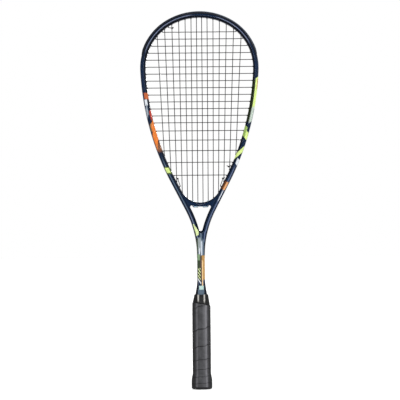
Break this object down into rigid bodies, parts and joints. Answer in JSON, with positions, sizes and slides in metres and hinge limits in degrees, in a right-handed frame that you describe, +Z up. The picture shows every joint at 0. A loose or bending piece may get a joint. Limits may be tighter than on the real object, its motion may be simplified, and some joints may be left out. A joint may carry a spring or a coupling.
{
  "type": "squash racket",
  "caption": "Teardrop-headed squash racket with an open throat, woven string bed, grommets, bumper guard and a tape-wound octagonal handle.",
  "frame": {"origin": "centre of the butt cap's flat end face", "axes": "+Z up the handle to the crown of the head, +X across the head, +Y through the string bed to the back; the front looks along -Y"},
  "size_m": [0.215, 0.0336, 0.686],
  "materials": {
    "frame_lacquer": "glossy lacquer over a carbon composite tube, with slanted colour bands",
    "bumper_nylon": "satin moulded nylon, a little scuffed",
    "grommet_nylon": "satin moulded nylon",
    "throat_strip": "pale, slightly clear moulded nylon",
    "string_nylon": "smooth coated multifilament",
    "pallet_foam": "moulded polyurethane foam with a skin",
    "cap_plastic": "satin moulded plastic",
    "staple_steel": "zinc-plated wire",
    "grip_cushion": "cushioned synthetic leather, fine matt grain",
    "collar_rubber": "glossy moulded rubber"
  },
  "bodies": {
    "root": {"frame": "frame_lacquer", "throat_bridge": "frame_lacquer", "bumper_guard": "bumper_nylon", "grommet_strip_left": "grommet_nylon", "grommet_strip_right": "grommet_nylon", "grommet_strip_throat": "throat_strip", "main_string": "string_nylon", "cross_string": "string_nylon", "main_string_knots": "string_nylon", "cross_string_knots": "string_nylon", "handle_pallet_front": "pallet_foam", "handle_pallet_back": "pallet_foam", "butt_cap": "cap_plastic", "butt_cap_staple_front": "staple_steel", "butt_cap_staple_back": "staple_steel", "grip_tape": "grip_cushion", "grip_collar": "collar_rubber"}
  },
  "joints": []
}
